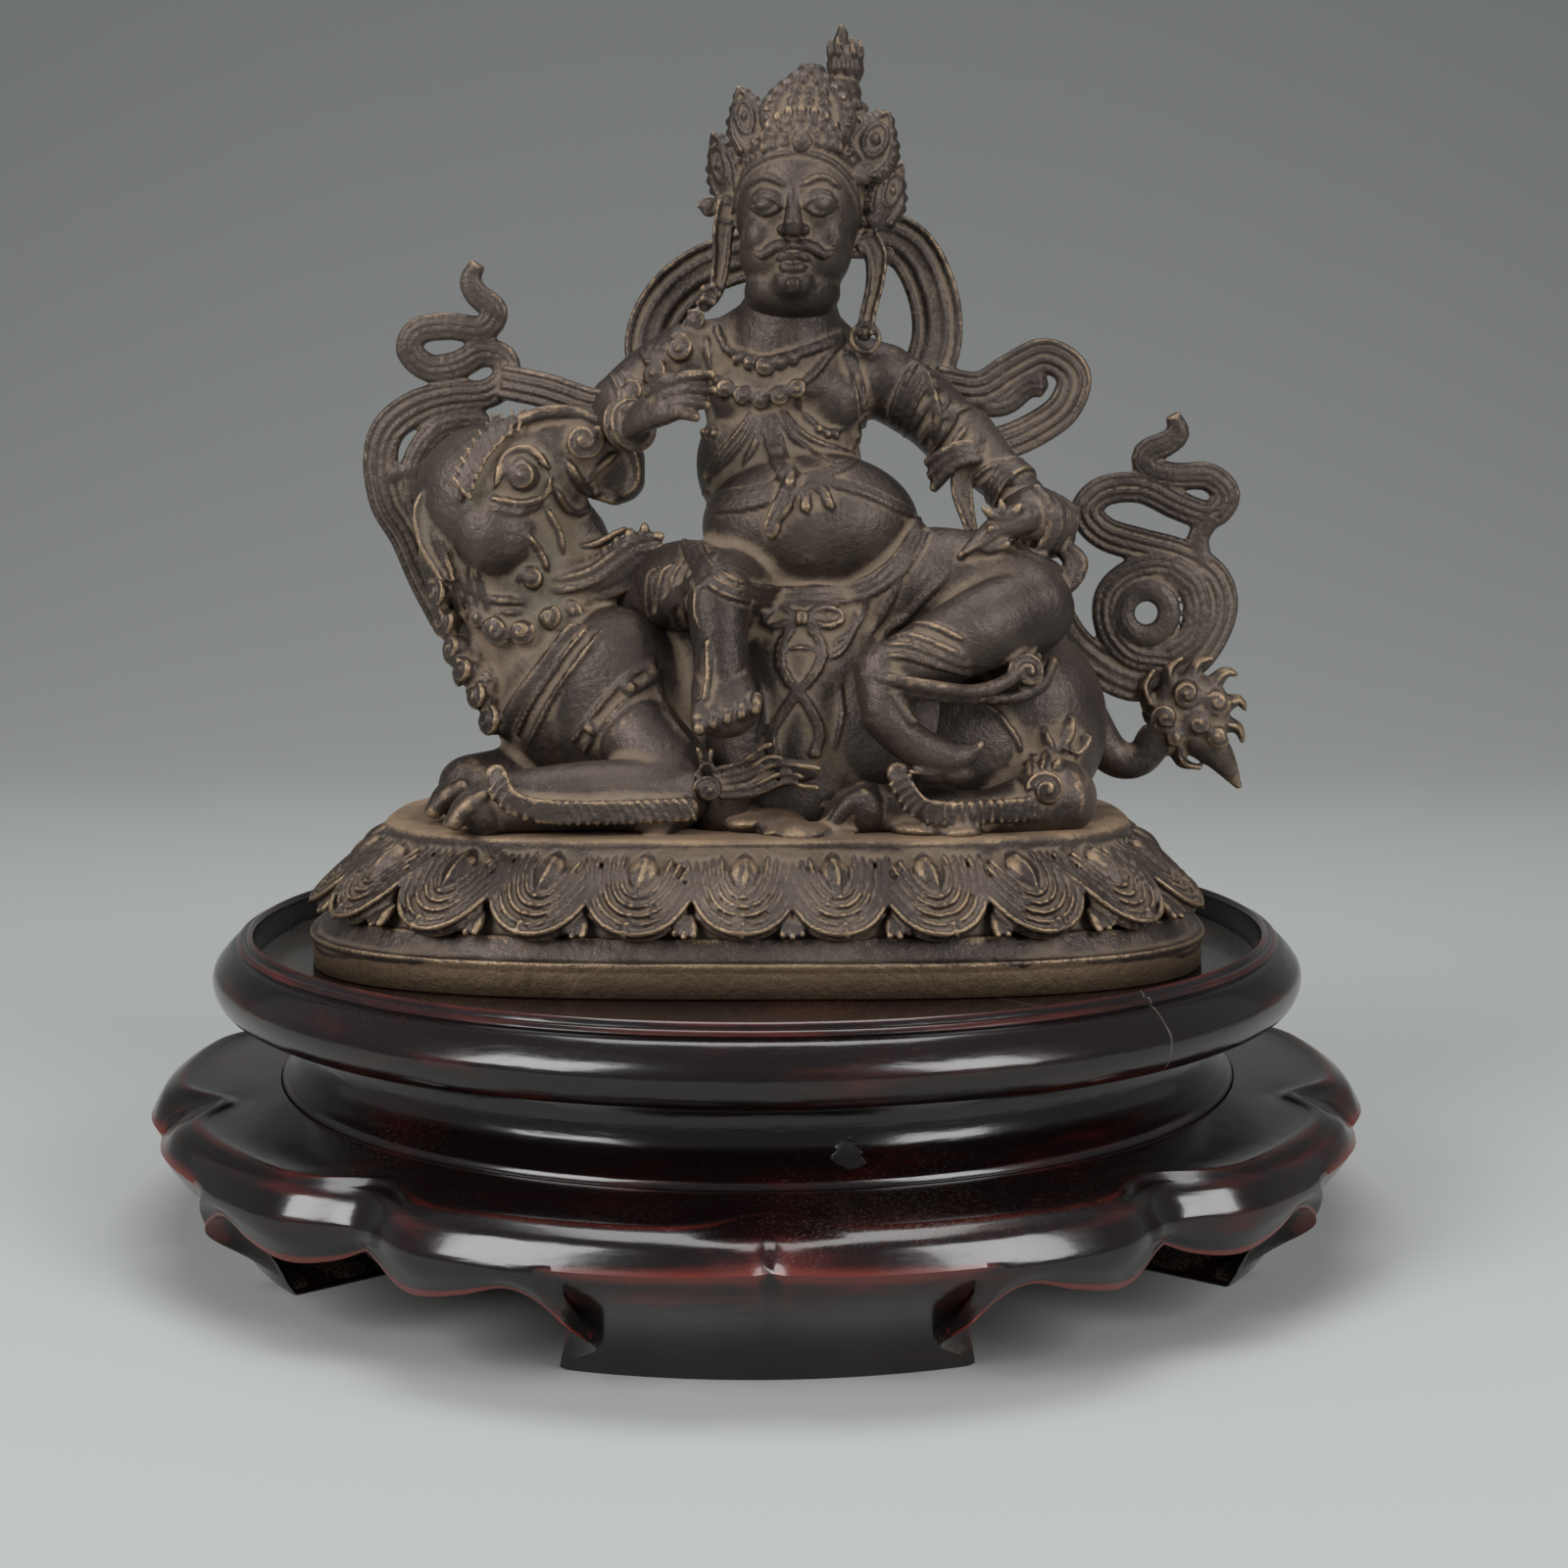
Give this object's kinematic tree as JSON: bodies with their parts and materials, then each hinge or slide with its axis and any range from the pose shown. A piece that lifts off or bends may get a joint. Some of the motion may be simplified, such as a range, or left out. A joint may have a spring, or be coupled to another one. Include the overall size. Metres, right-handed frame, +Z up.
{
  "type": "bronze statue of a wealth deity riding a lion, on a rosewood stand",
  "caption": "Cast bronze figurine of a crowned wealth deity seated on a lion over a lotus base, resting in the tray of a round lacquered rosewood stand.",
  "frame": {"origin": "on the round stand's axis, in the plane of its feet", "axes": "+X to the viewer's right seen from the front, +Y away from the viewer towards the back, +Z up"},
  "size_m": [0.2548, 0.2525, 0.2472],
  "materials": {
    "bronze_statue": "dark brown patina with dusty recesses and worn edges",
    "stand_tray": "gloss red-black lacquer",
    "stand_frame": "gloss red-black lacquer"
  },
  "bodies": {
    "root": {"bronze_statue": "bronze_statue", "stand_tray": "stand_tray", "stand_frame": "stand_frame"}
  },
  "joints": []
}
